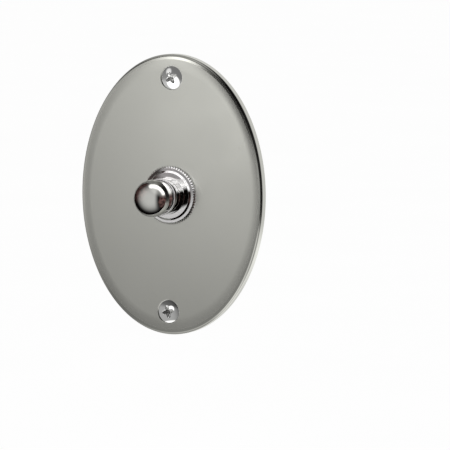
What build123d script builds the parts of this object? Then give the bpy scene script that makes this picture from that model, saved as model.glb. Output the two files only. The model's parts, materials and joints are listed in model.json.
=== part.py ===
from build123d import *
import math
import os

# Oval bell push: a polished plate, a knurled collar, a domed button and the contact insert behind it.
# Millimetres. X runs across the plate, Z up it and Y into the wall. The wall plane is y = 0.

# Face plate
plate_width = 60.0
plate_height = 84.0
plate_depth = 3.2
edge_fall = 0.5
edge_reach = 5.0
edge_steps = 4
rim_width = 3.0
recess_depth = 1.4
barrel_hole_clearance = 0.1

# Fixing screws
fixing_spacing = 70.0
boss_diameter = 11.0
screw_length = 20.0
screw_head_diameter = 6.8
screw_head_sink = 0.2
screw_head_raise = 0.7
screw_thread_diameter = 3.5
screw_neck_diameter = 2.6
screw_thread_start = 0.3
screw_point_length = 4.0
screw_hole_clearance = 0.3
cross_width = 0.9
cross_span = 3.6
cross_foot = 1.2
cross_depth = 1.8

# Collar, with lengths in front of the plate measured from its face
flange_diameter = 17.7
flange_thickness = 0.95
flange_bevel = 0.35
knurl_teeth = 64
knurl_depth = 0.3
shoulder_diameter = 14.8
shoulder_height = 1.55
shoulder_chamfer = 0.35
shoulder_slope = 0.1
nose_diameter = 11.0
nose_length = 7.5
lip_chamfer = 0.2
barrel_diameter = 14.0
barrel_length = 12.0
barrel_chamfer = 0.5
guide_web_front = 2.0
guide_web_thickness = 1.5
chamber_diameter = 11.2
guide_clearance = 0.05

# Push button
travel = 2.4
dome_diameter = 11.0
head_projection = 11.7
head_rim = 0.4
neck_diameter = 10.0
neck_guided_length = 6.0
stem_diameter = 3.0
stem_shoulder = 5.2
spigot_diameter = 2.0
spigot_overhang = 0.4
stop_gap = 0.02
seat_gap = 0.02

# Return spring
spring_wire = 0.6
spring_diameter = 6.8
spring_coils = 3

# Retaining clip
clip_diameter = 6.2
clip_thickness = 0.6
clip_inner_diameter = 3.8
clip_groove_diameter = 2.2
clip_lug_width = 1.0
clip_mouth = 2.0

# Moving contact on the stem
bush_flange_diameter = 5.6
bush_flange_thickness = 0.6
bush_tube_diameter = 3.8
bridge_diameter = 10.0
bridge_thickness = 0.8
bridge_clearance = 0.05
stem_washer_diameter = 4.6
stem_washer_thickness = 0.6
stem_nut_width = 4.0
stem_nut_thickness = 1.6

# Contact block and its ring
block_fit_clearance = 0.05
block_flange_diameter = 13.6
block_flange_thickness = 1.5
block_boss_diameter = 11.8
block_back = 18.0
block_well_diameter = 5.0
block_well_floor = 12.8
ring_diameter = 16.6
ring_lip = 1.0
ring_skirt_length = 4.0
ring_slot_width = 1.6
ring_slot_depth = 0.7

# Fixed contacts and terminals
strip_thickness = 0.6
strip_width = 3.0
strip_outer = 4.5
strip_pad_length = 1.9
strip_foot_length = 3.5
terminal_spacing = 5.6
terminal_thread_diameter = 2.0
terminal_thread_length = 3.6
terminal_hole_depth = 3.4
terminal_head_diameter = 3.4
terminal_head_thickness = 1.3
terminal_slot_width = 0.5
terminal_slot_depth = 0.7
terminal_washer_width = 3.2
terminal_washer_thickness = 0.5
thread_clearance = 0.05

# Nut and washers behind the plate
lock_washer_diameter = 18.6
lock_washer_thickness = 0.7
lock_washer_teeth = 12
lock_washer_notch_depth = 1.0
lock_washer_notch_width = 1.6
lock_nut_width = 17.0
lock_nut_thickness = 2.5
nut_chamfer_angle = 30.0

# Places along the button's axis, from the wall plane
face_y = -plate_depth
web_back_y = -recess_depth
flange_front_y = face_y - flange_thickness
nose_front_y = face_y - nose_length
head_back_y = face_y - head_projection + head_rim
neck_back_y = nose_front_y + neck_guided_length
guide_web_back = guide_web_front + guide_web_thickness
clip_y = guide_web_back + stop_gap
clip_back_y = clip_y + clip_thickness
bridge_y = stem_shoulder + bush_flange_thickness
bridge_back_y = bridge_y + bridge_thickness
stem_nut_y = bridge_back_y + stem_washer_thickness
stem_end_y = stem_nut_y + stem_nut_thickness + spigot_overhang
contact_y = bridge_back_y + travel + stop_gap
block_front_y = contact_y + strip_thickness
block_flange_back = barrel_length + block_flange_thickness
foot_back_y = block_back + strip_thickness
terminal_washer_back = foot_back_y + terminal_washer_thickness
screw_rim_y = face_y + screw_head_sink
lock_nut_y = web_back_y + lock_washer_thickness

# Radii shared by pieces that fit each other
barrel_hole_radius = barrel_diameter / 2 + barrel_hole_clearance
bore_radius = neck_diameter / 2 + guide_clearance
stem_hole_radius = stem_diameter / 2 + guide_clearance
thread_bore_radius = barrel_diameter / 2 + thread_clearance
spigot_hole_radius = spigot_diameter / 2 + thread_clearance
terminal_hole_radius = terminal_thread_diameter / 2 + thread_clearance


def turned(corners):
    """Revolve (radius, y) corners about the button's axis."""
    return revolve(make_face(Polyline(*corners, close=True)), Axis.Y)


def ring(outer_radius, inner_radius, start_y, thickness):
    """Flat ring round the button's axis."""
    return disc(outer_radius, start_y, thickness) - disc(inner_radius, start_y, thickness)


def disc(radius, start_y, thickness):
    """Cylinder on the button's axis that runs back from start_y."""
    return extrude(at_depth(start_y) * Circle(radius), -thickness)


def at_depth(y):
    """Sketch plane across the button's axis. It faces the front, with X right and Z up."""
    return Plane.XZ.offset(-y)


def pair(piece, spacing, direction):
    """Two copies of a piece, half the spacing to each side of the axis."""
    offset = direction * (spacing / 2)
    return [Pos(offset) * piece, Pos(-offset) * piece]


def hexagon_nut(width, hole_radius, start_y, thickness):
    """Plain hexagon nut on the button's axis."""
    outline = RegularPolygon(width / 2, 6, major_radius=False) - Circle(hole_radius)
    return extrude(at_depth(start_y) * outline, -thickness)


def face_plate():
    """Oval plate with a soft front edge, recessed behind and drilled."""
    half_width = plate_width / 2
    half_height = plate_height / 2
    plate = extrude(at_depth(0) * Ellipse(half_width, half_height), plate_depth - edge_fall)
    plate += soft_edge()
    recess = Ellipse(half_width - rim_width, half_height - rim_width)
    bosses = Sketch() + pair(Circle(boss_diameter / 2), fixing_spacing, Vector(0, 1, 0))
    plate -= extrude(at_depth(0) * (recess - bosses), recess_depth)
    plate -= disc(barrel_hole_radius, face_y, plate_depth)
    plate -= pair(screw_hole(), fixing_spacing, Vector(0, 0, 1))
    return plate


def soft_edge():
    """Front of the plate: ovals that follow an arc from the top of the wall to the flat face."""
    arc_radius = (edge_fall**2 + edge_reach**2) / (2 * edge_fall)
    arc_angle = math.asin(edge_reach / arc_radius)
    ovals = []
    for step in range(edge_steps + 1):
        angle = arc_angle * (1 - step / edge_steps)
        half_height = plate_height / 2 - edge_reach + arc_radius * math.sin(angle)
        half_width = half_height * plate_width / plate_height
        y = face_y + arc_radius * (1 - math.cos(angle))
        ovals.append(at_depth(y) * Ellipse(half_width, half_height))
    return loft(ovals, ruled=True)


def screw_hole():
    """Countersunk hole, cut on the button's axis and moved to its place."""
    hole_radius = screw_thread_diameter / 2 + screw_hole_clearance
    face_radius = screw_head_diameter / 2 + screw_head_sink + seat_gap
    return turned([
        (0, face_y - plate_depth),
        (face_radius + plate_depth, face_y - plate_depth),
        (hole_radius, face_y + face_radius - hole_radius),
        (hole_radius, plate_depth),
        (0, plate_depth),
    ])


def fixing_screw():
    """Raised countersunk screw with a cross recess and a plain thread cylinder."""
    head_radius = screw_head_diameter / 2
    neck_radius = screw_neck_diameter / 2
    thread_radius = screw_thread_diameter / 2
    crown_y = screw_rim_y - screw_head_raise
    tip_y = screw_rim_y + screw_length
    crown = TangentArc((0, crown_y), (head_radius, screw_rim_y), tangent=(1, 0))
    body = Polyline(
        (head_radius, screw_rim_y),
        (neck_radius, screw_rim_y + head_radius - neck_radius),
        (neck_radius, screw_thread_start),
        (thread_radius, screw_thread_start),
        (thread_radius, tip_y - screw_point_length),
        (0, tip_y),
        (0, crown_y),
    )
    screw = revolve(make_face(Curve() + [crown, body]), Axis.Y)
    blade = Polyline(
        (-cross_span / 2, crown_y),
        (cross_span / 2, crown_y),
        (cross_foot / 2, crown_y + cross_depth),
        (-cross_foot / 2, crown_y + cross_depth),
        close=True,
    )
    arm = extrude(make_face(blade), cross_width / 2, both=True)
    return screw - arm - Rot(0, 90, 0) * arm


def knurled_band():
    """Straight knurl round the flange: vee teeth from the root to the flange's full radius."""
    crest_radius = flange_diameter / 2
    root_radius = crest_radius - knurl_depth
    half_pitch = math.pi / knurl_teeth
    outline = []
    for tooth in range(knurl_teeth):
        crest_angle = 2 * half_pitch * tooth
        for radius, angle in ((crest_radius, crest_angle), (root_radius, crest_angle + half_pitch)):
            outline.append((radius * math.cos(angle), radius * math.sin(angle)))
    band = make_face(Polyline(*outline, close=True)) - Circle(barrel_diameter / 2)
    return extrude(at_depth(face_y) * band, flange_thickness - flange_bevel)


def collar():
    """Turned collar: knurled flange, stepped nose, barrel behind and a web that guides the stem."""
    bevel_radius = flange_diameter / 2 - knurl_depth
    shoulder_radius = shoulder_diameter / 2
    nose_radius = nose_diameter / 2
    barrel_radius = barrel_diameter / 2
    shoulder_y = face_y - shoulder_height
    body = turned([
        (bore_radius, nose_front_y),
        (nose_radius - lip_chamfer, nose_front_y),
        (nose_radius, nose_front_y + lip_chamfer),
        (nose_radius, shoulder_y - shoulder_slope),
        (shoulder_radius - shoulder_chamfer, shoulder_y),
        (shoulder_radius, shoulder_y + shoulder_chamfer),
        (shoulder_radius, flange_front_y),
        (bevel_radius - flange_bevel, flange_front_y),
        (bevel_radius, flange_front_y + flange_bevel),
        (barrel_radius, flange_front_y + flange_bevel),
        (barrel_radius, barrel_length - barrel_chamfer),
        (barrel_radius - barrel_chamfer, barrel_length),
        (chamber_diameter / 2, barrel_length),
        (chamber_diameter / 2, guide_web_back),
        (stem_hole_radius, guide_web_back),
        (stem_hole_radius, guide_web_front),
        (bore_radius, guide_web_front),
    ])
    return body + knurled_band()


def push_button():
    """Turned button: domed head with a rim, a neck that slides in the nose and a grooved stem."""
    dome_radius = dome_diameter / 2
    rim_y = face_y - head_projection
    neck_radius = neck_diameter / 2
    stem_radius = stem_diameter / 2
    groove_radius = clip_groove_diameter / 2
    spigot_radius = spigot_diameter / 2
    dome = CenterArc((0, rim_y), dome_radius, -90, 90)
    body = Polyline(
        (dome_radius, rim_y),
        (dome_radius, head_back_y),
        (neck_radius, head_back_y),
        (neck_radius, neck_back_y),
        (stem_radius, neck_back_y),
        (stem_radius, clip_y - seat_gap),
        (groove_radius, clip_y - seat_gap),
        (groove_radius, clip_back_y),
        (stem_radius, clip_back_y),
        (stem_radius, stem_shoulder),
        (spigot_radius, stem_shoulder),
        (spigot_radius, stem_end_y),
        (0, stem_end_y),
        (0, rim_y - dome_radius),
    )
    return revolve(make_face(Curve() + [dome, body]), Axis.Y)


def return_spring():
    """Coil between the back of the button's neck and the collar's web."""
    end_room = spring_wire / 2 + seat_gap
    start_y = neck_back_y + end_room
    height = guide_web_front - end_room - start_y
    path = Helix(height / spring_coils, height, spring_diameter / 2, (0, start_y, 0), (0, 1, 0))
    wire = Plane(path @ 0, x_dir=(1, 0, 0), z_dir=path % 0) * Rectangle(spring_wire, spring_wire)
    return sweep(wire, path, is_frenet=True)


def retaining_clip():
    """Open clip: three lugs reach into the stem's groove."""
    lug_tip = clip_groove_diameter / 2 + seat_gap
    lug_length = clip_inner_diameter / 2 - lug_tip + seat_gap
    outline = Circle(clip_diameter / 2) - Circle(clip_inner_diameter / 2)
    outline -= Pos(0, clip_diameter / 2) * Rectangle(clip_mouth, clip_diameter)
    lug = Pos(lug_tip + lug_length / 2, 0) * Rectangle(lug_length, clip_lug_width)
    for angle in (0, 180, 270):
        outline += Rot(0, 0, angle) * lug
    return extrude(at_depth(clip_y) * outline, -clip_thickness)


def insulating_bush():
    """Flanged bush that keeps the bridge contact off the stem."""
    return turned([
        (spigot_hole_radius, stem_shoulder),
        (bush_flange_diameter / 2, stem_shoulder),
        (bush_flange_diameter / 2, bridge_y),
        (bush_tube_diameter / 2, bridge_y),
        (bush_tube_diameter / 2, bridge_back_y),
        (spigot_hole_radius, bridge_back_y),
    ])


def bridge_contact():
    """Disc that joins the two fixed contacts at the end of the button's travel."""
    hole_radius = bush_tube_diameter / 2 + bridge_clearance
    return ring(bridge_diameter / 2, hole_radius, bridge_y, bridge_thickness)


def insulating_washer():
    """Washer between the bridge contact and the stem's nut."""
    return ring(stem_washer_diameter / 2, spigot_hole_radius, bridge_back_y, stem_washer_thickness)


def stem_nut():
    """Small nut that holds the moving contact on the stem."""
    return hexagon_nut(stem_nut_width, spigot_hole_radius, stem_nut_y, stem_nut_thickness)


def contact_block():
    """Moulded insulator: plug, flange and terminal boss, with a well for the end of the stem."""
    plug_radius = chamber_diameter / 2 - block_fit_clearance
    block = turned([
        (block_well_diameter / 2, block_front_y),
        (plug_radius, block_front_y),
        (plug_radius, barrel_length),
        (block_flange_diameter / 2, barrel_length),
        (block_flange_diameter / 2, block_flange_back),
        (block_boss_diameter / 2, block_flange_back),
        (block_boss_diameter / 2, block_back),
        (0, block_back),
        (0, block_well_floor),
        (block_well_diameter / 2, block_well_floor),
    ])
    slot_place = strip_outer - strip_thickness / 2
    slot = Rectangle(strip_thickness + 2 * block_fit_clearance, strip_width + 2 * block_fit_clearance)
    slots = extrude(at_depth(block_back) * slot, block_back - block_front_y)
    block -= pair(slots, 2 * slot_place, Vector(1, 0, 0))
    screw_hole_blank = disc(terminal_hole_radius, block_back - terminal_hole_depth, terminal_hole_depth)
    return block - pair(screw_hole_blank, terminal_spacing, Vector(1, 0, 0))


def clamp_ring():
    """Threaded ring with a lip over the block's flange and two slots for a key."""
    lip_radius = block_boss_diameter / 2 + block_fit_clearance
    lip_back_y = block_flange_back + ring_lip
    body = turned([
        (thread_bore_radius, block_flange_back - ring_skirt_length),
        (ring_diameter / 2, block_flange_back - ring_skirt_length),
        (ring_diameter / 2, lip_back_y),
        (lip_radius, lip_back_y),
        (lip_radius, block_flange_back),
        (thread_bore_radius, block_flange_back),
    ])
    slots = Rectangle(ring_slot_width, ring_diameter + ring_slot_width)
    return body - extrude(at_depth(lip_back_y) * slots, ring_slot_depth)


def fixed_contact():
    """Strip bent to a channel: a pad in the chamber, a leg through the block and a foot with a tapped hole."""
    pad_end = strip_outer - strip_pad_length
    leg_inner = strip_outer - strip_thickness
    foot_end = strip_outer - strip_foot_length
    outline = Polyline(
        (pad_end, contact_y),
        (strip_outer, contact_y),
        (strip_outer, foot_back_y),
        (foot_end, foot_back_y),
        (foot_end, block_back),
        (leg_inner, block_back),
        (leg_inner, block_front_y),
        (pad_end, block_front_y),
        close=True,
    )
    strip = extrude(make_face(outline), strip_width / 2, both=True)
    tapped_hole = disc(terminal_hole_radius, block_back, strip_thickness)
    return strip - Pos(terminal_spacing / 2, 0, 0) * tapped_hole


def terminal_washer():
    """Square washer that presses a wire on a contact's foot."""
    outline = Rectangle(terminal_washer_width, terminal_washer_width) - Circle(terminal_hole_radius)
    return extrude(at_depth(foot_back_y) * outline, -terminal_washer_thickness)


def terminal_screw():
    """Slotted cheese-head screw."""
    thread_radius = terminal_thread_diameter / 2
    head_back_y = terminal_washer_back + terminal_head_thickness
    screw = turned([
        (0, foot_back_y - terminal_thread_length),
        (thread_radius, foot_back_y - terminal_thread_length),
        (thread_radius, terminal_washer_back),
        (terminal_head_diameter / 2, terminal_washer_back),
        (terminal_head_diameter / 2, head_back_y),
        (0, head_back_y),
    ])
    slot = Rectangle(terminal_slot_width, terminal_head_diameter)
    return screw - extrude(at_depth(head_back_y) * slot, terminal_slot_depth)


def lock_washer():
    """Flat washer with teeth round its edge."""
    notch = Rectangle(lock_washer_notch_depth * 2, lock_washer_notch_width)
    notches = PolarLocations(lock_washer_diameter / 2, lock_washer_teeth) * notch
    outline = Circle(lock_washer_diameter / 2) - Circle(barrel_hole_radius) - notches
    return extrude(at_depth(web_back_y) * outline, -lock_washer_thickness)


def lock_nut():
    """Thin nut that clamps the collar to the plate, with its back corners chamfered."""
    flat_radius = lock_nut_width / 2
    corner_radius = flat_radius / math.cos(math.pi / 6)
    drop = (corner_radius - flat_radius) * math.tan(math.radians(nut_chamfer_angle))
    back_y = lock_nut_y + lock_nut_thickness
    envelope = turned([
        (0, lock_nut_y),
        (corner_radius, lock_nut_y),
        (corner_radius, back_y - drop),
        (flat_radius, back_y),
        (0, back_y),
    ])
    return hexagon_nut(lock_nut_width, thread_bore_radius, lock_nut_y, lock_nut_thickness) & envelope


contact = fixed_contact()
nodes = {
    "face_plate": face_plate(),
    "collar": collar(),
    "lock_washer": lock_washer(),
    "lock_nut": lock_nut(),
    "contact_block": contact_block(),
    "clamp_ring": clamp_ring(),
    "left_contact": mirror(contact, Plane.YZ),
    "right_contact": contact,
    "terminal_washers": Compound(pair(terminal_washer(), terminal_spacing, Vector(1, 0, 0))),
    "terminal_screws": Compound(pair(terminal_screw(), terminal_spacing, Vector(1, 0, 0))),
    "fixing_screws": Compound(pair(fixing_screw(), fixing_spacing, Vector(0, 0, 1))),
    "return_spring": return_spring(),
    "push_button": push_button(),
    "retaining_clip": retaining_clip(),
    "insulating_bush": insulating_bush(),
    "bridge_contact": bridge_contact(),
    "insulating_washer": insulating_washer(),
    "stem_nut": stem_nut(),
}

os.makedirs("parts", exist_ok=True)
for name, solid in nodes.items():
    export_step(solid, f"parts/{name}.step")
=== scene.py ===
import json
import math

import bmesh
import bpy
from mathutils import Matrix, Vector
from mathutils.geometry import delaunay_2d_cdt


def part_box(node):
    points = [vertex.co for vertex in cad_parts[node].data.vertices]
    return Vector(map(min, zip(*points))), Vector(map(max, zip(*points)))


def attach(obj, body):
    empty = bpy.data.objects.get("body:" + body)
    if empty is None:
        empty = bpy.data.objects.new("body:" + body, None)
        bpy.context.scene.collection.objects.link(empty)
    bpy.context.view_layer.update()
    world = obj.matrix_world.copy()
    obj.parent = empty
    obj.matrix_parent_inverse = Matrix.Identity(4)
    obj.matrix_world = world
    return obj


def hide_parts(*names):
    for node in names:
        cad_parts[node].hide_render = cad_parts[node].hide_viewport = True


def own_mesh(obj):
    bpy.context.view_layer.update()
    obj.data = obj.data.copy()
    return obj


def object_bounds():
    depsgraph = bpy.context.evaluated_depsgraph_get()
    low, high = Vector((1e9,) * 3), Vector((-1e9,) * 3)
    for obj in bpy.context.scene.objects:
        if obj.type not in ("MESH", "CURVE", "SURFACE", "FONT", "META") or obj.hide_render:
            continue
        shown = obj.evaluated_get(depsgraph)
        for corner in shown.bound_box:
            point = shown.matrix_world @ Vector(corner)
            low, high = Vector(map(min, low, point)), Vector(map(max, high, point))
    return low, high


# Oval bell push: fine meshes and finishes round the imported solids.
# Lengths are millimetres until a mesh is made. X runs across the plate, Y into the wall and Z up.
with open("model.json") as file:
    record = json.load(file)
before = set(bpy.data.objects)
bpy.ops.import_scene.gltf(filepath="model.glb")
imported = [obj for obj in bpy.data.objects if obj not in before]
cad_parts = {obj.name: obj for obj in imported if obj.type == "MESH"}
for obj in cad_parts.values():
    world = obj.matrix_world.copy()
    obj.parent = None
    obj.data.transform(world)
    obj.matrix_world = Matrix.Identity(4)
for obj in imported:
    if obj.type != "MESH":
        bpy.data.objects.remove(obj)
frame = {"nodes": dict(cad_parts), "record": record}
cad_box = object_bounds()
MM = 0.001


def node_box(node):
    """Lowest and highest corner of a CAD node, in millimetres."""
    low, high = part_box(node)
    return low / MM, high / MM


# Sizes read from the frame
plate_low, plate_high = node_box("face_plate")
collar_low, collar_high = node_box("collar")
button_low, button_high = node_box("push_button")
_, screws_high = node_box("fixing_screws")
spring_low, spring_high = node_box("return_spring")
half_width = plate_high.x
half_height = plate_high.z
squeeze = half_width / half_height
face_y = plate_low.y
flange_radius = collar_high.x
nose_front_y = collar_low.y
barrel_end_y = collar_high.y
dome_radius = button_high.x
rim_y = button_low.y + dome_radius
stem_end_y = button_high.y
head_radius = screws_high.x
fixing_z = screws_high.z - head_radius
screw_tip_y = screws_high.y

# Plate details
edge_fall = 0.5
edge_reach = 5.0
edge_rounding = 1.0
bright_edge_width = 1.5 * edge_rounding
back_rounding = 0.15
rim_width = 3.0
recess_depth = 1.4
boss_radius = 5.5
barrel_hole_radius = 7.1
screw_hole_radius = 2.05
countersink_radius = 3.62
hole_rounding = 0.08

# Collar details
knurl_teeth = 64
knurl_depth = 0.7
knurl_chamfer = 0.7
knurl_root_radius = flange_radius - knurl_depth
flange_thickness = 0.95
flange_front_y = face_y - flange_thickness
flange_face_radius = flange_radius - knurl_chamfer
flange_slope = 0.07
shoulder_radius = 7.4
shoulder_thickness = 1.55
shoulder_y = face_y - shoulder_thickness
shoulder_chamfer = 0.48
shoulder_slope = 0.1
nose_radius = 5.5
lip_chamfer = 0.2
bore_radius = 5.05
bore_seam_depth = 1.0
bore_seam_y = nose_front_y + bore_seam_depth
barrel_radius = 7.0
barrel_thread_pitch = 1.0
barrel_thread_depth = 0.5
barrel_thread_start = 0.2
barrel_chamfer = 0.5
barrel_thread_end = barrel_end_y - barrel_chamfer
chamber_radius = 5.6
guide_web = (2.0, 3.5)
stem_hole_radius = 1.55
turned_rounding = 0.1

# Button details
head_rim_length = 0.4
head_back_y = rim_y + head_rim_length
waist_radius = 4.5
waist_length = 1.9
flare_length = 0.87
button_neck_radius = 5.0
button_neck_back = -4.7
stem_radius = 1.5
clip_groove = (3.5, 4.12)
clip_groove_radius = 1.1
stem_shoulder = 5.2
spigot_radius = 1.0

# Fixing screw details
screw_sink = 0.2
screw_rim_y = face_y + screw_sink
screw_raise = 0.7
screw_top_y = screw_rim_y - screw_raise
crown_radius = (head_radius**2 + screw_raise**2) / (2 * screw_raise)
crown_centre_y = screw_top_y + crown_radius
screw_core_radius = 1.3
screw_head_fillet = 0.2
screw_thread_radius = 1.75
screw_thread_start = 0.3
screw_thread_pitch = 1.6
screw_thread_run_in = 1.0
screw_ridge_sharpness = 2.2
screw_point = 4.0
screw_thread_length = screw_tip_y - screw_thread_start
cross_span = 3.6
cross_width = 0.9
cross_foot = 0.45
cross_depth = 1.8
cross_point = 0.5
cross_rounding = 0.12
cross_corner = 1.25
cross_clearance = 1.06
cross_turns = (32, 12)

# Spring details
spring_wire = 0.6
spring_mean_radius = 3.4
spring_coils = 3

# Fineness of the meshes
turn_steps = 384
small_turn_steps = 128
tooth_steps = 8
chamfer_steps = 7
barrel_rows_per_pitch = 6
screw_rows_per_pitch = 8
crown_rings = (0.3, 0.45, 0.6, 0.72, 0.84, 0.93)
arm_end_steps = 8
soft_edge_steps = 10
boss_steps = 64
bisections = 40
coil_steps = 48
wire_steps = 12
relief_probes = 8
arc_step = math.radians(9)
sharp_angle = math.radians(35)
straight_turn = 1e-6
weld_distance = 1e-6
same_place = 1e-9


class Shell:
    """Points, faces and a normal for each face corner. A normal of None is left to the geometry."""

    def __init__(self):
        self.points = []
        self.faces = []
        self.normals = []
        self.finish = 0
        self.finishes = []

    def loop(self, points):
        """Add points and give their numbers."""
        start = len(self.points)
        self.points.extend(Vector(p) for p in points)
        return list(range(start, len(self.points)))

    def face(self, corners, normals):
        self.faces.append(corners)
        self.normals.append(normals)
        self.finishes.append(self.finish)

    def band(self, first, second, first_normals, second_normals):
        """Faces between two closed loops. A loop of one point closes the shell in a pole."""
        count = max(len(first), len(second))
        for i in range(count):
            j = (i + 1) % count
            if len(first) == 1:
                corners = [first[0], second[i], second[j]]
                normals = [first_normals[i], second_normals[i], second_normals[j]]
            elif len(second) == 1:
                corners = [first[i], second[0], first[j]]
                normals = [first_normals[i], second_normals[i], first_normals[j]]
            else:
                corners = [first[i], second[i], second[j], first[j]]
                normals = [first_normals[i], second_normals[i], second_normals[j], first_normals[j]]
            self.face(corners, normals)

    def fill(self, outline, holes, normal_at, inner=()):
        """Triangles across an outline with holes in it. The normals set the side they face."""
        rings = [outline, *holes]
        used = [i for ring in rings for i in ring] + list(inner)
        edges = []
        base = 0
        for ring in rings:
            edges.extend((base + i, base + (i + 1) % len(ring)) for i in range(len(ring)))
            base += len(ring)
        flat = [Vector((self.points[i].x, self.points[i].z)) for i in used]
        borders = [[self.points[i] for i in ring] for ring in rings]
        places, _, triangles, sources, _, _ = delaunay_2d_cdt(flat, edges, [], 0, weld_distance)
        for triangle in triangles:
            middle = sum((places[i] for i in triangle), Vector((0, 0))) / 3
            if not inside(middle, borders[0]) or any(inside(middle, border) for border in borders[1:]):
                continue
            corners = [used[sources[i][0]] for i in triangle]
            normals = [normal_at(self.points[i]) for i in corners]
            if normals[0].y > 0:
                corners.reverse()
                normals.reverse()
            self.face(corners, normals)

    def mesh(self, name):
        """A smooth mesh in metres with the given normals, and its own where none was given."""
        mesh = bpy.data.meshes.new(name)
        mesh.from_pydata([p * MM for p in self.points], [], self.faces)
        mesh.polygons.foreach_set("material_index", self.finishes)
        mesh.shade_smooth()
        mesh.set_sharp_from_angle(angle=sharp_angle)
        own = [n.vector.copy() for n in mesh.corner_normals]
        given = [n for corner_normals in self.normals for n in corner_normals]
        mesh.normals_split_custom_set([n or o for n, o in zip(given, own)])
        return mesh


def inside(point, ring):
    """Whether a point of the XZ plane lies inside a ring of points."""
    crossings = 0
    for a, b in zip(ring, ring[1:] + ring[:1]):
        if (a.z > point.y) != (b.z > point.y):
            crossings += a.x + (point.y - a.z) * (b.x - a.x) / (b.z - a.z) > point.x
    return crossings % 2 == 1


def turns(count):
    """Angles of even steps round a circle."""
    return [2 * math.pi * i / count for i in range(count)]


def arc(centre, radius, start, end):
    """Rows (radius, y, normal radius, normal y) along an arc. Angles are from +R towards +Y."""
    steps = max(2, round(abs(end - start) / arc_step))
    rows = []
    for i in range(steps + 1):
        angle = start + (end - start) * i / steps
        normal = (math.cos(angle), math.sin(angle))
        rows.append((centre[0] + radius * normal[0], centre[1] + radius * normal[1], *normal))
    return rows


def corner_arc(corner, before, after, radius):
    """Rows round a corner between the directions of two runs."""
    turn = before.x * after.y - before.y * after.x
    sense = math.copysign(1, turn)
    half = math.atan2(abs(turn), before.dot(after)) / 2
    start = corner - before * radius * math.tan(half)
    first_side = Vector((before.y, -before.x)) * sense
    steps = max(2, round(2 * half / arc_step))
    rows = []
    for k in range(steps + 1):
        run = Matrix.Rotation(2 * half * k / steps * sense, 2) @ before
        side = Vector((run.y, -run.x)) * sense
        place = start + (side - first_side) * radius
        rows.append((place.x, place.y, run.y, -run.x))
    return rows


def rounded(corners):
    """Rows along straight runs between (radius, y, rounding) corners. The solid is on the right hand."""
    places = [Vector(corner[:2]) for corner in corners]
    runs = [(b - a).normalized() for a, b in zip(places, places[1:])]
    rows = []
    for i, (r, y, rounding) in enumerate(corners):
        before, after = runs[max(0, i - 1)], runs[min(i, len(runs) - 1)]
        turn = before.x * after.y - before.y * after.x
        if i in (0, len(runs)):
            rows.append((r, y, before.y, -before.x))
        elif rounding == 0 or abs(turn) < straight_turn:
            rows.append((r, y, before.y, -before.x))
            rows.append((r, y, after.y, -after.x))
        else:
            rows.extend(corner_arc(places[i], before, after, rounding))
    return rows


def lathe(shell, rows, steps, width_share=1.0, relief=None):
    """Turn a profile about the Y axis. Relief gives another radius at (radius, y, angle).

    A row at the place of the row before it, or of the first row, shares that row's points.
    """
    angles = turns(steps)
    rings = []
    for r, y, _, _ in rows:
        here = Vector((r, y))
        met = [ring for ring in rings[-1:] + rings[:1] if (Vector(ring[0]) - here).length < same_place]
        if met:
            rings.append(met[0])
            continue
        if r == 0:
            loop = shell.loop([(0, y, 0)])
        else:
            radii = [relief(r, y, a) if relief else r for a in angles]
            loop = shell.loop(
                (width_share * s * math.cos(a), y, s * math.sin(a)) for s, a in zip(radii, angles)
            )
        rings.append(((r, y), loop))

    def normals(row):
        r, y, nr, ny = row
        if relief and any(relief(r, y, a) != r for a in angles[:relief_probes]):
            return [None] * steps
        return [
            Vector((nr * math.cos(a) / width_share, ny, nr * math.sin(a))).normalized() for a in angles
        ]

    for i in range(len(rows) - 1):
        if rings[i][1] is not rings[i + 1][1]:
            shell.band(rings[i][1], rings[i + 1][1], normals(rows[i]), normals(rows[i + 1]))
    return [loop for _, loop in rings]


def piece(name, mesh, body, finishes, replaced):
    """A new object in the scene that stands for a CAD node and rides on a body."""
    made = bpy.data.objects.new(name, mesh)
    bpy.context.scene.collection.objects.link(made)
    for finish in finishes:
        mesh.materials.append(finish)
    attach(made, body)
    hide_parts(replaced)
    return made


def triangle_wave(share):
    """1 at whole numbers, falling to 0 half way between them."""
    return abs(2 * (share % 1) - 1)


def ramp(value, start, end):
    """0 before start, 1 after end and smooth between them."""
    t = min(1, max(0, (value - start) / (end - start)))
    return t * t * (3 - 2 * t)


# Nodes of a material

def new_material(name):
    """A material with its nodes, its links and its shader."""
    material = bpy.data.materials.new(name)
    material.use_nodes = True
    nodes = material.node_tree.nodes
    return material, nodes, material.node_tree.links, nodes["Principled BSDF"]


def noise(nodes, links, scale, detail=3.0):
    """Noise over the object's own coordinates."""
    place = nodes.new("ShaderNodeTexCoord")
    texture = nodes.new("ShaderNodeTexNoise")
    texture.inputs["Scale"].default_value = scale
    texture.inputs["Detail"].default_value = detail
    links.new(place.outputs["Object"], texture.inputs["Vector"])
    return texture.outputs["Fac"]


def blend_colour(nodes, links, factor, first, second):
    """The first colour where the factor is 0, the second where it is 1."""
    mix = nodes.new("ShaderNodeMix")
    mix.data_type = "RGBA"
    links.new(factor, mix.inputs["Factor"])
    mix.inputs["A"].default_value = (*first, 1)
    mix.inputs["B"].default_value = (*second, 1)
    return mix.outputs["Result"]


def smooth_range(nodes, links, value, start, end, before, after):
    """One value before the start, another after the end and smooth between them."""
    node = nodes.new("ShaderNodeMapRange")
    node.interpolation_type = "SMOOTHSTEP"
    node.inputs["From Min"].default_value = start
    node.inputs["From Max"].default_value = end
    node.inputs["To Min"].default_value = before
    node.inputs["To Max"].default_value = after
    links.new(value, node.inputs["Value"])
    return node.outputs["Result"]


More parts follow.
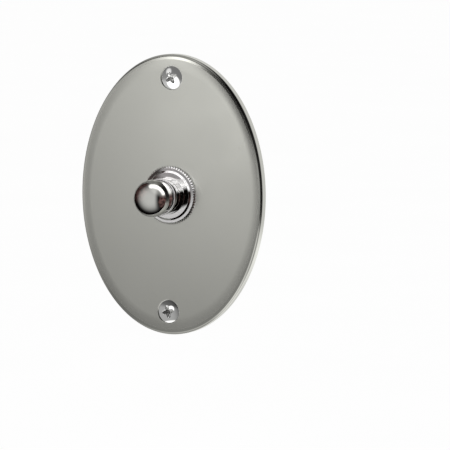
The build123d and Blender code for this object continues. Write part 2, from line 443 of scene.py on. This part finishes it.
def bump(nodes, links, shader, height, strength, distance):
    """Relief in the shader, with its depth in millimetres."""
    node = nodes.new("ShaderNodeBump")
    node.inputs["Strength"].default_value = strength
    node.inputs["Distance"].default_value = distance * MM
    links.new(height, node.inputs["Height"])
    links.new(node.outputs["Normal"], shader.inputs["Normal"])


# Nearly all of a noise texture lies between these values
usual_noise = (0.2, 0.8)


def finish_material(name, colours, roughness, scale, metallic=1.0, grain=None):
    """Procedural finish: two close colours, a spread of roughness and an optional fine grain."""
    material, nodes, links, shader = new_material(name)
    cloud = noise(nodes, links, scale)
    links.new(blend_colour(nodes, links, cloud, *colours), shader.inputs["Base Color"])
    links.new(smooth_range(nodes, links, cloud, *usual_noise, *roughness), shader.inputs["Roughness"])
    shader.inputs["Metallic"].default_value = metallic
    if grain:
        height = noise(nodes, links, grain["scale"])
        bump(nodes, links, shader, height, grain["strength"], grain["distance"])
    return material


plate_colours = ((0.57, 0.57, 0.545), (0.60, 0.60, 0.575))
plate_finish = finish_material("plate_chrome", plate_colours, roughness=(0.28, 0.33), scale=60)
edge_finish = finish_material("plate_edge", plate_colours, roughness=(0.12, 0.17), scale=120)
back_finish = finish_material(
    "plate_back", ((0.36, 0.36, 0.35), (0.50, 0.50, 0.485)), roughness=(0.36, 0.52), scale=500,
    grain={"scale": 900, "strength": 0.35, "distance": 0.12},
)
chrome_finish = finish_material(
    "bright_chrome", ((0.61, 0.61, 0.60), (0.64, 0.64, 0.63)), roughness=(0.03, 0.06), scale=300
)
spring_finish = finish_material(
    "spring_steel", ((0.40, 0.40, 0.41), (0.50, 0.50, 0.51)), roughness=(0.25, 0.40), scale=400
)
plated_finish = finish_material(
    "plated_steel", ((0.55, 0.56, 0.57), (0.64, 0.64, 0.63)), roughness=(0.20, 0.34), scale=500
)
brass_finish = finish_material(
    "brass", ((0.66, 0.46, 0.17), (0.76, 0.56, 0.25)), roughness=(0.20, 0.34), scale=350
)
moulding_finish = finish_material(
    "black_moulding", ((0.016, 0.016, 0.017), (0.03, 0.03, 0.031)), roughness=(0.42, 0.58), scale=250,
    metallic=0.0, grain={"scale": 2500, "strength": 0.25, "distance": 0.05},
)
nylon_finish = finish_material(
    "white_nylon", ((0.76, 0.75, 0.70), (0.84, 0.83, 0.79)), roughness=(0.38, 0.50), scale=300,
    metallic=0.0, grain={"scale": 2000, "strength": 0.2, "distance": 0.05},
)


# Pieces

edge_radius = (edge_fall**2 + edge_reach**2) / (2 * edge_fall)
edge_start = half_height - edge_reach
flat_face, bright_edge, rough_back = range(3)


def oval_radius(x, z):
    """Half height of the oval, of the plate's own shape, that passes through a point."""
    return math.hypot(x / squeeze, z)


def front_drop(x, z):
    """How far the soft edge lies behind the flat of the plate."""
    past = max(0, oval_radius(x, z) - edge_start)
    return edge_radius - math.sqrt(edge_radius**2 - past**2)


def front_normal(point):
    """Normal of the plate's front at a point of it."""
    reach = oval_radius(point.x, point.z)
    past = max(0, reach - edge_start)
    slope = past / math.sqrt(edge_radius**2 - past**2)
    return Vector((slope * point.x / squeeze**2 / reach, -1, slope * point.z / reach)).normalized()


def plate_hole(shell, centre_z, corners):
    """A turned hole, with its mouth set on the soft edge. Gives its back and its front loop."""
    start = len(shell.points)
    made = lathe(shell, rounded(corners), small_turn_steps)
    for point in shell.points[start:]:
        point.z += centre_z
        if point.y < face_y + hole_rounding:
            point.y += front_drop(point.x, point.z)
    return made[0], made[-1]


def soft_edge_points(end):
    """Points of the soft edge, from its start to a half height, that lie clear of the screw holes."""
    points = []
    for step in range(soft_edge_steps):
        reach = edge_start + (end - edge_start) * step / soft_edge_steps
        for a in turns(turn_steps // 2):
            x, z = reach * squeeze * math.cos(a), reach * math.sin(a)
            if math.hypot(x, abs(z) - fixing_z) > countersink_radius + 4 * hole_rounding:
                points.append((x, face_y + front_drop(x, z), z))
    return points


def plate_back(shell, border, bore, screw_holes):
    """Rim of the back with its two bosses, wall of the recess and floor of the recess."""
    def to_wall(_):
        return Vector((0, 1, 0))

    outline = recess_outline()
    recess_top = shell.loop((x, 0, z) for x, z in outline)
    recess_floor = shell.loop((x, -recess_depth, z) for x, z in outline)
    free = [None] * len(outline)
    shell.band(recess_floor, recess_top, free, free)
    shell.fill(border, [recess_top, *screw_holes], to_wall)
    shell.fill(recess_floor, [bore], to_wall)


def face_plate():
    """Oval plate: soft front edge, straight wall, recessed back with two bosses, and the holes."""
    shell = Shell()
    turn_in = half_height - bright_edge_width
    shell.finish = bright_edge
    rings = lathe(shell, rounded([
        (turn_in, face_y + front_drop(0, turn_in), 0),
        (half_height, face_y + edge_fall, edge_rounding),
        (half_height, 0, back_rounding),
        (half_height - 2 * back_rounding, 0, 0),
    ]), turn_steps, squeeze)

    shell.finish = flat_face
    bore = [(barrel_hole_radius, -recess_depth, 0), (barrel_hole_radius, face_y, 0)]
    bore_back, bore_front = plate_hole(shell, 0, bore)
    countersunk = [
        (screw_hole_radius, 0, 0),
        (screw_hole_radius, face_y + countersink_radius - screw_hole_radius, 0),
        (countersink_radius, face_y, hole_rounding),
        (countersink_radius + 2 * hole_rounding, face_y, 0),
    ]
    screw_backs, screw_fronts = zip(*(plate_hole(shell, z, countersunk) for z in (fixing_z, -fixing_z)))
    soft_edge = shell.loop(soft_edge_points(turn_in))
    shell.fill(rings[0], [bore_front, *screw_fronts], front_normal, soft_edge)

    shell.finish = rough_back
    plate_back(shell, rings[-1], bore_back, screw_backs)
    return piece(
        "face_plate_visual", shell.mesh("face_plate"), "base",
        [plate_finish, edge_finish, back_finish], "face_plate",
    )


def recess_outline():
    """Corners (x, z) of the recess: an oval, cut into by the round bosses at its two ends."""
    wide, high = half_width - rim_width, half_height - rim_width

    def boss_edge(angle):
        return boss_radius * math.cos(angle), fixing_z + boss_radius * math.sin(angle)

    low, meeting = 0, math.pi / 2
    for _ in range(bisections):
        middle = (low + meeting) / 2
        x, z = boss_edge(middle)
        if math.hypot(x / wide, z / high) < 1:
            low = middle
        else:
            meeting = middle
    sweep = math.pi + 2 * low
    boss = [boss_edge(low - sweep * i / boss_steps) for i in range(boss_steps + 1)]
    oval = [(wide * math.cos(a), high * math.sin(a)) for a in turns(turn_steps)[:turn_steps // 2]]
    right = [p for p in oval if p[0] > boss[0][0]]
    left = [p for p in oval if p[0] < boss[-1][0]]
    upper = right + boss + left
    return upper + [(-x, -z) for x, z in upper]


def collar_profile():
    """Rows from inside the nose's bore over the outside and back through the barrel."""
    q = turned_rounding
    outside = rounded([
        (bore_radius, bore_seam_y, 0),
        (bore_radius, nose_front_y, q / 2),
        (nose_radius - lip_chamfer / 2, nose_front_y, q),
        (nose_radius, nose_front_y + lip_chamfer, q),
        (nose_radius, shoulder_y - shoulder_slope, q),
        (shoulder_radius - shoulder_chamfer, shoulder_y, 2 * q),
        (shoulder_radius, shoulder_y + shoulder_chamfer, 2 * q),
        (shoulder_radius, flange_front_y - flange_slope, q / 2),
        (flange_face_radius, flange_front_y, 0),
    ])
    knurl_steps = [knurl_chamfer * i / chamfer_steps for i in range(1, chamfer_steps + 1)]
    knurl_steps.append(face_y - flange_front_y)
    knurl = [(flange_face_radius, flange_front_y + step, 1, 0) for step in knurl_steps]
    flange_back = rounded([
        (knurl_root_radius, face_y, 0),
        (barrel_radius, face_y, 0),
        (barrel_radius, barrel_thread_start, 0),
    ])
    length = barrel_thread_end - barrel_thread_start
    count = round(length / barrel_thread_pitch * barrel_rows_per_pitch)
    thread = [(barrel_radius, barrel_thread_start + length / count * i, 1, 0) for i in range(count + 1)]
    hollow = rounded([
        (barrel_radius, barrel_thread_end, 0),
        (barrel_radius - barrel_chamfer, barrel_end_y, q),
        (chamber_radius, barrel_end_y, q),
        (chamber_radius, guide_web[1], 0),
        (stem_hole_radius, guide_web[1], 0),
        (stem_hole_radius, guide_web[0], 0),
        (bore_radius, guide_web[0], 0),
        (bore_radius, bore_seam_y, 0),
    ])
    return outside + knurl + flange_back + thread + hollow


def collar_relief(r, y, angle):
    """Radius of the knurl's teeth, cut through a chamfer, and of the barrel's thread."""
    if r == flange_face_radius and flange_front_y < y <= face_y:
        tooth = knurl_root_radius + knurl_depth * triangle_wave(angle * knurl_teeth / (2 * math.pi))
        return min(tooth, r + y - flange_front_y)
    if r == barrel_radius and barrel_thread_start < y < barrel_thread_end:
        valley = 1 - triangle_wave(y / barrel_thread_pitch - angle / (2 * math.pi))
        run_in = ramp(y, barrel_thread_start, barrel_thread_start + barrel_thread_pitch)
        return r - barrel_thread_depth * valley * run_in
    return r


def collar():
    """Turned collar: knurled flange, stepped nose, threaded barrel and the web that guides the stem."""
    shell = Shell()
    lathe(shell, collar_profile(), tooth_steps * knurl_teeth, relief=collar_relief)
    return piece("collar_visual", shell.mesh("collar"), "base", [chrome_finish], "collar")


def push_button():
    """Turned button: domed head with a rim, a neck that slides in the nose and a grooved stem."""
    shell = Shell()
    q = turned_rounding
    dome = arc((0, rim_y), dome_radius, -math.pi / 2, 0)
    dome[0] = (0, rim_y - dome_radius, 0, -1)
    behind = rounded([
        (dome_radius, rim_y, 0),
        (dome_radius, head_back_y, 1.5 * q),
        (waist_radius, head_back_y, q),
        (waist_radius, head_back_y + waist_length, 2 * q),
        (button_neck_radius, head_back_y + waist_length + flare_length, 2 * q),
        (button_neck_radius, button_neck_back, q),
        (stem_radius, button_neck_back, 0),
        (stem_radius, clip_groove[0], 0),
        (clip_groove_radius, clip_groove[0], 0),
        (clip_groove_radius, clip_groove[1], 0),
        (stem_radius, clip_groove[1], 0),
        (stem_radius, stem_shoulder, q),
        (spigot_radius, stem_shoulder, 0),
        (spigot_radius, stem_end_y, q),
        (0, stem_end_y, 0),
    ])
    lathe(shell, dome + behind, turn_steps // 2)
    return piece(
        "push_button_visual", shell.mesh("push_button"), "button",
        [chrome_finish], "push_button",
    )


def cross_outline(span, width, turn):
    """Corners (x, z) of a cross with rounded arm ends, turned by some degrees."""
    arm = []
    tip = span / 2 - width / 2
    for k in range(arm_end_steps + 1):
        angle = math.radians(-90 + 180 * k / arm_end_steps)
        arm.append((tip + width / 2 * math.cos(angle), width / 2 * math.sin(angle)))
    arm.append((width / 2 * cross_corner, width / 2 * cross_corner))
    corners = []
    for quarter in range(4):
        angle = quarter * math.pi / 2 + math.radians(turn)
        cos, sin = math.cos(angle), math.sin(angle)
        corners.extend((x * cos - z * sin, x * sin + z * cos) for x, z in arm)
    return corners


def crown(x, z):
    """Y of the raised head above a point of the XZ plane."""
    return crown_centre_y - math.sqrt(crown_radius**2 - x**2 - z**2)


def crown_normal(point):
    """Normal of the raised head at a point of it."""
    return (point - Vector((0, crown_centre_y, 0))).normalized()


def screw_profile():
    """Rows from the edge of the crown down the countersink and the shank to the point."""
    rim = rounded([
        (head_radius - hole_rounding, crown(head_radius - hole_rounding, 0), 0),
        (head_radius, screw_rim_y, 0),
        (screw_core_radius, screw_rim_y + head_radius - screw_core_radius, screw_head_fillet),
        (screw_core_radius, screw_thread_start, 0),
    ])
    count = screw_rows_per_pitch * round(screw_thread_length / screw_thread_pitch)
    heights = [screw_thread_start + screw_thread_length * i / count for i in range(count)]
    return rim + [(screw_core_radius, y, 1, 0) for y in heights] + [(0, screw_tip_y, 0, 1)]


def screw_relief(r, y, angle):
    """Radius of the shank with its thread, tapered at the point."""
    if r != screw_core_radius or y <= screw_thread_start:
        return r
    taper = min(1, (screw_tip_y - y) / screw_point)
    share = y / screw_thread_pitch - angle / (2 * math.pi)
    ridge = max(0, 1 - screw_ridge_sharpness * (1 - triangle_wave(share)))
    run_in = ramp(y, screw_thread_start, screw_thread_start + screw_thread_run_in)
    return (r + (screw_thread_radius - screw_core_radius) * ridge * run_in) * taper


def screw_head(shell, border, cross_turn):
    """The crown of a screw, inside a border loop, with a pointed cross recess in it."""
    wider = 2 * cross_rounding
    outline = cross_outline(cross_span, cross_width, cross_turn)
    mouth = cross_outline(cross_span + wider, cross_width + wider, cross_turn)
    base_y = screw_top_y + cross_depth
    top = shell.loop((x, crown(x, z), z) for x, z in mouth)
    lip = shell.loop((x, crown(x, z) + cross_rounding, z) for x, z in outline)
    base = shell.loop((x * cross_foot, base_y - cross_point, z * cross_foot) for x, z in outline)
    point = shell.loop([(0, base_y, 0)])
    free = [None] * len(outline)
    for first, second in ((lip, top), (base, lip), (point, base)):
        shell.band(first, second, free, free)
    kept_clear = [cross_clearance * Vector((x, 0, z)) for x, z in mouth]
    domed = []
    for share in crown_rings:
        for a in turns(small_turn_steps // 2):
            x, z = head_radius * share * math.cos(a), head_radius * share * math.sin(a)
            if not inside(Vector((x, z)), kept_clear):
                domed.append((x, crown(x, z), z))
    shell.fill(border, [top], crown_normal, shell.loop(domed))


def fixing_screws():
    """Two raised countersunk wood screws with a cross recess."""
    shell = Shell()
    for place_z, cross_turn in zip((fixing_z, -fixing_z), cross_turns):
        start = len(shell.points)
        rings = lathe(shell, screw_profile(), small_turn_steps, relief=screw_relief)
        screw_head(shell, rings[0], cross_turn)
        for point in shell.points[start:]:
            point.z += place_z
    return piece(
        "fixing_screws_visual", shell.mesh("fixing_screws"), "base",
        [chrome_finish], "fixing_screws",
    )


def return_spring():
    """Round wire coiled between the button's neck and the collar's web."""
    shell = Shell()
    wire = spring_wire / 2
    start_y = spring_low.y + wire
    length = spring_high.y - wire - start_y
    steps = spring_coils * coil_steps
    section = turns(wire_steps)
    loops = []
    for i in range(steps + 1):
        angle = 2 * math.pi * spring_coils * i / steps
        out = Vector((math.cos(angle), 0, math.sin(angle)))
        centre = out * spring_mean_radius + Vector((0, start_y + length * i / steps, 0))
        loops.append(shell.loop(
            centre + (out * math.cos(a) + Vector((0, 1, 0)) * math.sin(a)) * wire for a in section
        ))
    free = [None] * len(section)
    for first, second in zip(loops, loops[1:]):
        shell.band(first, second, free, free)
    shell.face(loops[0], free)
    shell.face(loops[-1][::-1], free)
    made = piece(
        "return_spring_visual", shell.mesh("return_spring"), "base",
        [spring_finish], "return_spring",
    )
    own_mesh(made)
    return made


plate = face_plate()
collar_piece = collar()
button = push_button()
screws = fixing_screws()
spring = return_spring()

# The plate shows no mirror image of the button in the photograph
button.visible_glossy = False

node_finishes = {
    "plated_steel": plated_finish,
    "spring_steel": spring_finish,
    "brass": brass_finish,
    "black_moulding": moulding_finish,
    "white_nylon": nylon_finish,
    "plate_chrome": plate_finish,
    "bright_chrome": chrome_finish,
}
for subpart in frame["record"]["subparts"]:
    node = frame["nodes"][subpart["node"]]
    node.data.materials.clear()
    node.data.materials.append(node_finishes[subpart["material_slot"]])


# Camera angles, fitted to the outline, the screws, the flange and the dome of the photograph
camera_azimuth = 26.2
camera_elevation = 5.7
camera_roll = math.radians(0.75)
camera_distance = 1.0
camera_sensor = 36
camera_reach = 50
image_size = 450
focal_pixels = 3347
origin_pixel = (174.7, 194.2)


# Stage and light, in metres and degrees
floor_size = 40
floor_drop = 0.6
floor_colours = ((0.88, 0.88, 0.88), (0.90, 0.90, 0.90))
floor_roughness = 0.9
floor_cloud_scale = 3
floor_shine = 0.45
room_light = 0.6
room_white = 1.0
key_energy = 4
key_size = 0.6
key_angles = (60, 55)
key_distance = 1.2
tent_radius = 0.60
tent_colours = ((0.004, 0.003, 0.003), (0.006, 0.005, 0.005))
sphere_segments = 64
sphere_rings = 32
warm_grey = (1.0, 1.0, 0.965)
pale_lilac = (1.0, 0.985, 1.0)
dull_brown = (1.0, 0.55, 0.5)
plain_white = (1.0, 1.0, 1.0)


def direction(azimuth, elevation):
    """Unit vector from the object. Azimuth 0 is the front, and it grows to the right."""
    a, e = math.radians(azimuth), math.radians(elevation)
    return Vector((math.sin(a) * math.cos(e), -math.cos(a) * math.cos(e), math.sin(e)))


def stage_object(name, mesh, material):
    """A new object that isn't part of the bell push."""
    made = bpy.data.objects.new(name, mesh)
    bpy.context.scene.collection.objects.link(made)
    mesh.materials.append(material)
    return made


def quad(name, width, height):
    """A level rectangle round the origin."""
    mesh = bpy.data.meshes.new(name)
    x, y = width / 2, height / 2
    mesh.from_pydata([(-x, -y, 0), (x, -y, 0), (x, y, 0), (-x, y, 0)], [], [(0, 1, 2, 3)])
    return mesh


def math_node(nodes, links, operation, first, second):
    """The result of an operation on two sockets or numbers."""
    node = nodes.new("ShaderNodeMath")
    node.operation = operation
    for socket, value in zip(node.inputs, (first, second)):
        if isinstance(value, (int, float)):
            socket.default_value = value
        else:
            links.new(value, socket)
    return node.outputs[0]


def seen_rays(nodes, links):
    """1 for camera, glossy and transmission rays, 0 for the rays that light things."""
    path = nodes.new("ShaderNodeLightPath")
    seen = path.outputs["Is Camera Ray"]
    for ray in ("Is Glossy Ray", "Is Transmission Ray"):
        seen = math_node(nodes, links, "MAXIMUM", seen, path.outputs[ray])
    return seen


def pale_floor():
    """A wide floor below the part, a little self-lit so that it shows as white."""
    material, nodes, links, shader = new_material("pale_floor")
    shader.inputs["Roughness"].default_value = floor_roughness
    shader.inputs["Specular IOR Level"].default_value = 0.0
    cloud = noise(nodes, links, floor_cloud_scale)
    links.new(blend_colour(nodes, links, cloud, *floor_colours), shader.inputs["Base Color"])
    shader.inputs["Emission Color"].default_value = (1, 1, 1, 1)
    shine = math_node(nodes, links, "MULTIPLY", seen_rays(nodes, links), floor_shine)
    links.new(shine, shader.inputs["Emission Strength"])
    floor = stage_object("floor", quad("floor", floor_size, floor_size), material)
    floor.location.z = cad_box[0].z - floor_drop


def white_room():
    """A white world that lights the part less brightly than it shows."""
    world = bpy.data.worlds.new("studio")
    bpy.context.scene.world = world
    world.use_nodes = True
    nodes, links = world.node_tree.nodes, world.node_tree.links
    background = nodes["Background"]
    background.inputs["Color"].default_value = (1, 1, 1, 1)
    strength = nodes.new("ShaderNodeMapRange")
    strength.inputs["To Min"].default_value = room_light
    strength.inputs["To Max"].default_value = room_white
    links.new(seen_rays(nodes, links), strength.inputs["Value"])
    links.new(strength.outputs["Result"], background.inputs["Strength"])


def key_light():
    """A soft lamp from the upper right, which polished metal doesn't show."""
    lamp = bpy.data.lights.new("key", "AREA")
    lamp.energy = key_energy
    lamp.size = key_size
    key = bpy.data.objects.new("key", lamp)
    bpy.context.scene.collection.objects.link(key)
    key.location = direction(*key_angles) * key_distance
    key.rotation_mode = "QUATERNION"
    key.rotation_quaternion = direction(*key_angles).to_track_quat("Z", "Y")
    key.visible_glossy = False


def reflected_only(thing):
    """The thing shows in polished metal and lights nothing else."""
    thing.visible_camera = False
    thing.visible_diffuse = False
    thing.visible_shadow = False
    thing.visible_transmission = False
    thing.visible_volume_scatter = False


def sphere(name, radius):
    mesh = bpy.data.meshes.new(name)
    shape = bmesh.new()
    bmesh.ops.create_uvsphere(shape, u_segments=sphere_segments, v_segments=sphere_rings, radius=radius)
    shape.to_mesh(mesh)
    shape.free()
    mesh.shade_smooth()
    return mesh


def dark_tent():
    """A dark sphere round the part that hides the white room from polished metal."""
    material = finish_material("dark_tent", tent_colours, roughness=(0.9, 1.0), scale=2, metallic=0.0)
    shader = material.node_tree.nodes["Principled BSDF"]
    shader.inputs["Specular IOR Level"].default_value = 0.0
    reflected_only(stage_object("tent", sphere("tent", tent_radius), material))


def cosine(degrees):
    return math.cos(math.radians(degrees))


class Sky:
    """Shader nodes for the light on a glow's sphere. Angles are degrees, as direction() has them."""

    def __init__(self, nodes, links):
        self.nodes = nodes
        self.links = links
        place = nodes.new("ShaderNodeTexCoord").outputs["Object"]
        unit = nodes.new("ShaderNodeVectorMath")
        unit.operation = "NORMALIZE"
        links.new(place, unit.inputs[0])
        self.unit = unit.outputs[0]
        self.metres = self.axes(place)
        self.unit_axes = self.axes(self.unit)

    def axes(self, vector):
        split = self.nodes.new("ShaderNodeSeparateXYZ")
        self.links.new(vector, split.inputs[0])
        return split.outputs

    def facing(self, azimuth, elevation):
        """Cosine of the angle between a place on the sphere and a direction."""
        product = self.nodes.new("ShaderNodeVectorMath")
        product.operation = "DOT_PRODUCT"
        self.links.new(self.unit, product.inputs[0])
        product.inputs[1].default_value = direction(azimuth, elevation)
        return product.outputs["Value"]

    def fade(self, value, start, end, before, after):
        return smooth_range(self.nodes, self.links, value, start, end, before, after)

    def spot(self, azimuth, elevation, inner, outer, within, beyond):
        """One level within the inner angle round a direction, another beyond the outer angle."""
        return self.fade(self.facing(azimuth, elevation), cosine(outer), cosine(inner), beyond, within)

    def cloud(self, scale):
        return noise(self.nodes, self.links, scale, detail=2.0)

    def product(self, first, *others):
        for other in others:
            first = math_node(self.nodes, self.links, "MULTIPLY", first, other)
        return first

    def total(self, first, *others):
        for other in others:
            first = math_node(self.nodes, self.links, "ADD", first, other)
        return first

    def without(self, share):
        """What is left of 1 without a share."""
        return math_node(self.nodes, self.links, "SUBTRACT", 1.0, share)


def glow(name, level, tint, receivers, radius, centre_z=0):
    """A see-through sphere whose soft patches of light show only in its receivers."""
    material = bpy.data.materials.new(name)
    material.use_nodes = True
    nodes, links = material.node_tree.nodes, material.node_tree.links
    nodes.clear()
    emission = nodes.new("ShaderNodeEmission")
    emission.inputs["Color"].default_value = (*tint, 1)
    links.new(level(Sky(nodes, links)), emission.inputs["Strength"])
    clear = nodes.new("ShaderNodeBsdfTransparent")
    both = nodes.new("ShaderNodeAddShader")
    output = nodes.new("ShaderNodeOutputMaterial")
    links.new(emission.outputs[0], both.inputs[0])
    links.new(clear.outputs[0], both.inputs[1])
    links.new(both.outputs[0], output.inputs["Surface"])
    material.cycles.emission_sampling = "NONE"
    made = stage_object(name, sphere(name, radius), material)
    made.location.z = centre_z
    reflected_only(made)
    group = bpy.data.collections.new(name + "_receivers")
    for receiver in receivers:
        group.objects.link(receiver)
    made.light_linking.receiver_collection = group


def plate_level(sky):
    """Light before the plate, brighter above than below, with dark patches, and dim lights round it."""
    light = sky.total(plate_wall_light(sky), plate_top_light(sky))
    light = sky.product(light, *plate_fades(sky), *plate_dark_patches(sky), *plate_ends(sky))
    return sky.total(light, *plate_far_lights(sky))


def plate_wall_light(sky):
    _, _, z = sky.metres
    return sky.fade(z, start=-0.11, end=0.05, before=0.46, after=1.32)


def plate_top_light(sky):
    """More light above on the left, for the bright line along the plate's top edge."""
    x, _, z = sky.metres
    top = sky.fade(z, start=0.02, end=0.12, before=0.0, after=0.8)
    top_end = sky.fade(x, start=-0.12, end=-0.06, before=1.0, after=0.0)
    return sky.product(top, top_end)


def plate_fades(sky):
    """Shares left of the light low down and far to the left."""
    x, _, z = sky.metres
    low = sky.fade(z, start=-0.25, end=-0.13, before=0.6, after=1.0)
    across = sky.fade(x, start=-0.20, end=-0.07, before=0.50, after=1.0)
    return low, across


def plate_dark_patches(sky):
    """Shares left of the light in the dark patches that edge the plate on the upper right."""
    _, _, z = sky.metres
    camera_side = sky.spot(20, 25, inner=10, outer=47, within=0.02, beyond=1.0)
    right = sky.spot(62, 14, inner=42, outer=52, within=0.98, beyond=0.0)
    right_end = sky.fade(z, start=-0.10, end=-0.05, before=0.0, after=1.0)
    corner = sky.without(sky.product(right, right_end))
    left = sky.spot(-60, 48, inner=24, outer=34, within=0.08, beyond=1.0)
    above = sky.spot(-4, 34, inner=6, outer=20, within=0.15, beyond=1.0)
    below = sky.spot(2, -28, inner=6, outer=35, within=0.66, beyond=1.0)
    band = sky.spot(-6, 12, inner=8, outer=15, within=0.12, beyond=1.0)
    return camera_side, corner, left, above, below, band


def plate_ends(sky):
    """A lean towards the upper right, and shares that end the light beside and straight above the plate."""
    x, y, z = sky.metres
    lean = sky.fade(x, start=-0.165, end=-0.090, before=-0.40, after=0.75)
    lean_end = sky.fade(z, start=-0.050, end=0.010, before=0.0, after=1.0)
    tilt = sky.total(sky.product(lean, lean_end), 1.0)
    in_front = sky.fade(y, start=-0.12, end=-0.03, before=1.0, after=0.0)
    below_zenith = sky.fade(z, start=0.14, end=0.23, before=1.0, after=0.12)
    return tilt, in_front, below_zenith


def plate_far_lights(sky):
    """Dim lights for the wall of the plate, its edges and the views from other sides."""
    x, y, z = sky.metres
    behind = sky.fade(y, start=0.08, end=0.22, before=0.0, after=0.84)
    behind_left = sky.fade(x, start=-0.22, end=-0.05, before=0.6, after=1.0)
    far_left = sky.fade(x, start=-0.27, end=-0.20, before=0.25, after=0.0)
    far_down = sky.fade(z, start=-0.24, end=-0.16, before=0.4, after=0.0)
    right = sky.fade(x, start=0.04, end=0.12, before=0.0, after=0.45)
    right_end = sky.fade(z, start=-0.11, end=-0.06, before=1.0, after=0.0)
    crest = sky.fade(z, start=0.17, end=0.22, before=0.0, after=0.42)
    crest_end = sky.fade(x, start=-0.02, end=0.11, before=1.0, after=0.0)
    return (
        sky.product(behind, behind_left), far_left, far_down,
        sky.product(right, right_end), sky.product(crest, crest_end),
    )


def strip(sky, strength):
    """A strip that arches from overhead round to the right, far off the camera's axis."""
    cosines = sky.facing(camera_azimuth, camera_elevation)
    near = sky.fade(cosines, start=cosine(74), end=cosine(55), before=strength, after=0.0)
    far = sky.fade(cosines, start=cosine(98), end=cosine(90), before=0.0, after=1.0)
    length = sky.spot(104, 62, inner=36, outer=50, within=1.0, beyond=0.0)
    return sky.product(near, far, length)


def button_level(sky):
    """A broad grey patch in front that ends on the right, a soft light overhead, and the strip."""
    front = sky.spot(14, 3, inner=8, outer=100, within=0.74, beyond=0.0)
    right_end = sky.spot(110, 0, inner=45, outer=76, within=0.0, beyond=1.0)
    ceiling = sky.spot(112, 60, inner=25, outer=62, within=0.40, beyond=0.0)
    return sky.total(sky.product(front, right_end), ceiling, strip(sky, strength=1.7))


def collar_level(sky):
    """Grey on the left of the front, and a streaky white light overhead that stops on the left."""
    x, y, z = sky.unit_axes
    front = sky.spot(-27, -10, inner=15, outer=32, within=1.0, beyond=0.0)
    upward = sky.fade(z, start=-0.19, end=-0.04, before=0.85, after=0.42)
    left = sky.fade(x, start=-0.53, end=-0.47, before=0.9, after=0.0)
    upper = sky.fade(z, start=-0.08, end=-0.01, before=0.0, after=1.0)
    front = sky.product(front, upward, sky.without(sky.product(left, upper)))
    overhead = sky.fade(z, start=0.14, end=0.34, before=0.0, after=2.2)
    streaks = sky.fade(sky.cloud(16), start=0.35, end=0.60, before=0.55, after=1.0)
    stop = sky.fade(x, start=-0.60, end=-0.52, before=0.0, after=1.0)
    back = sky.fade(y, start=-0.02, end=0.20, before=1.0, after=0.25)
    return sky.total(front, sky.product(overhead, streaks, stop, back))


def brown_level(sky):
    """Dim patches on the right and on the left, as of a dark room."""
    right = sky.spot(95, -12, inner=5, outer=40, within=0.14, beyond=0.0)
    left = sky.spot(-65, 30, inner=10, outer=60, within=0.07, beyond=0.0)
    mottle = sky.fade(sky.cloud(14), start=0.35, end=0.65, before=0.3, after=1.7)
    return sky.product(sky.total(right, left), mottle)


def screw_level(sky):
    """A small white patch low on the left of the camera, a white table below and dim grey round them."""
    _, _, z = sky.unit_axes
    patch = sky.spot(-12, -8, inner=11, outer=15, within=1.7, beyond=0.0)
    around = sky.spot(-40, -25, inner=20, outer=68, within=0.58, beyond=0.14)
    upward = sky.fade(z, start=-0.15, end=0.15, before=1.0, after=0.35)
    table = sky.fade(z, start=-0.79, end=-0.73, before=1.3, after=0.0)
    return sky.total(patch, sky.product(around, upward), table)


def upper_screw_level(sky):
    """A broad white patch in front and a small pale one above it."""
    patch = sky.spot(-15, -19, inner=24, outer=30, within=1.7, beyond=0.0)
    above = sky.spot(-36, 19, inner=6, outer=15, within=1.1, beyond=0.22)
    return sky.total(patch, above)


def back_level(sky):
    """Soft light from behind and above for the pieces that only show there."""
    return sky.spot(160, 35, inner=10, outer=75, within=1.1, beyond=0.22)


pale_floor()
white_room()
key_light()
dark_tent()
others = [frame["nodes"][s["node"]] for s in frame["record"]["subparts"]] + [spring]
glow("plate_glow", plate_level, warm_grey, [plate], radius=0.30)
glow("button_glow", button_level, warm_grey, [button], radius=0.34)
glow("collar_glow", collar_level, pale_lilac, [collar_piece], radius=0.38)
glow("brown_glow", brown_level, dull_brown, [button, collar_piece], radius=0.36)
glow("screw_glow", screw_level, plain_white, [screws], radius=0.18)
glow("upper_screw_glow", upper_screw_level, plain_white, [screws], radius=0.03, centre_z=fixing_z * MM)
glow("other_glow", back_level, plain_white, others, radius=0.46)


def place_camera():
    """A camera at the photograph's angle, turned so that the part's origin falls on its pixel."""
    data = bpy.data.cameras.new("camera")
    data.sensor_width = camera_sensor
    data.lens = camera_sensor * focal_pixels / image_size
    data.clip_end = camera_reach
    camera = bpy.data.objects.new("camera", data)
    bpy.context.scene.collection.objects.link(camera)
    bpy.context.scene.camera = camera
    back = direction(camera_azimuth, camera_elevation)
    level = Vector((math.cos(math.radians(camera_azimuth)), math.sin(math.radians(camera_azimuth)), 0))
    upright = back.cross(level)
    right = level * math.cos(camera_roll) + upright * math.sin(camera_roll)
    up = upright * math.cos(camera_roll) - level * math.sin(camera_roll)
    aim = Vector((
        (origin_pixel[0] - image_size / 2) / focal_pixels,
        (image_size / 2 - origin_pixel[1]) / focal_pixels,
        -1,
    ))
    turn_to_origin = aim.rotation_difference(Vector((0, 0, -1))).to_matrix()
    basis = Matrix((right, up, back)).transposed() @ turn_to_origin
    camera.rotation_mode = "QUATERNION"
    camera.rotation_quaternion = basis.to_quaternion()
    camera.location = back * camera_distance


place_camera()
bpy.context.scene.view_settings.view_transform = "Standard"
